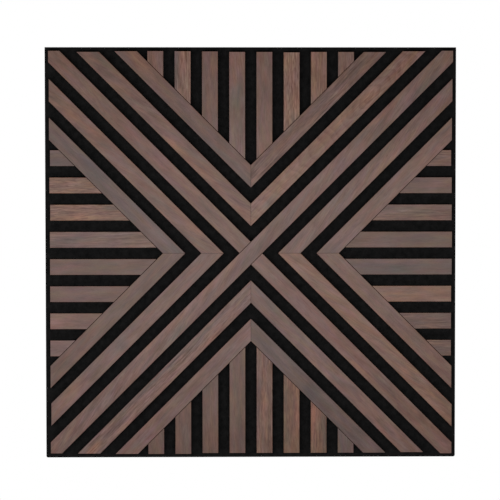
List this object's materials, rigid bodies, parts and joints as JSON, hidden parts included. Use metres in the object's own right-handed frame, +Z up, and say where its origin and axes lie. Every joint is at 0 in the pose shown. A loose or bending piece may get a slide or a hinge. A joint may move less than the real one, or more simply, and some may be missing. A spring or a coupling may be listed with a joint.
{
  "type": "acoustic wall panel",
  "caption": "Square acoustic wall panel: walnut-veneered slats on black felt, in diagonals, chevrons and straight rows.",
  "frame": {"origin": "the middle of the felt board's back face, which lies on the wall", "axes": "+X to the viewer's right, +Z up, +Y into the wall; the slatted face looks towards -Y"},
  "size_m": [0.6, 0.0213, 0.6],
  "materials": {
    "felt": "matt black needle-punched PET felt",
    "walnut_veneer": "smoked walnut veneer with a matt lacquer, on black-dyed MDF slats"
  },
  "bodies": {
    "root": {"felt_backing": "felt", "half_slat_bottom_right": "walnut_veneer", "half_slat_top_left": "walnut_veneer", "inner_chevron_bottom_left": "walnut_veneer", "inner_chevron_bottom_right": "walnut_veneer", "inner_chevron_left_lower": "walnut_veneer", "inner_chevron_left_upper": "walnut_veneer", "inner_chevron_right_lower": "walnut_veneer", "inner_chevron_right_upper": "walnut_veneer", "inner_chevron_top_left": "walnut_veneer", "inner_chevron_top_right": "walnut_veneer", "long_slat": "walnut_veneer", "outer_chevron_bottom_left": "walnut_veneer", "outer_chevron_bottom_right": "walnut_veneer", "outer_chevron_left_lower": "walnut_veneer", "outer_chevron_left_upper": "walnut_veneer", "outer_chevron_right_lower": "walnut_veneer", "outer_chevron_right_upper": "walnut_veneer", "outer_chevron_top_left": "walnut_veneer", "outer_chevron_top_right": "walnut_veneer", "straight_bottom_left_1": "walnut_veneer", "straight_bottom_left_2": "walnut_veneer", "straight_bottom_left_3": "walnut_veneer", "straight_bottom_left_4": "walnut_veneer", "straight_bottom_right_1": "walnut_veneer", "straight_bottom_right_2": "walnut_veneer", "straight_bottom_right_3": "walnut_veneer", "straight_bottom_right_4": "walnut_veneer", "straight_left_lower_1": "walnut_veneer", "straight_left_lower_2": "walnut_veneer", "straight_left_lower_3": "walnut_veneer", "straight_left_lower_4": "walnut_veneer", "straight_left_upper_1": "walnut_veneer", "straight_left_upper_2": "walnut_veneer", "straight_left_upper_3": "walnut_veneer", "straight_left_upper_4": "walnut_veneer", "straight_right_lower_1": "walnut_veneer", "straight_right_lower_2": "walnut_veneer", "straight_right_lower_3": "walnut_veneer", "straight_right_lower_4": "walnut_veneer", "straight_right_upper_1": "walnut_veneer", "straight_right_upper_2": "walnut_veneer", "straight_right_upper_3": "walnut_veneer", "straight_right_upper_4": "walnut_veneer", "straight_top_left_1": "walnut_veneer", "straight_top_left_2": "walnut_veneer", "straight_top_left_3": "walnut_veneer", "straight_top_left_4": "walnut_veneer", "straight_top_right_1": "walnut_veneer", "straight_top_right_2": "walnut_veneer", "straight_top_right_3": "walnut_veneer", "straight_top_right_4": "walnut_veneer"}
  },
  "joints": []
}
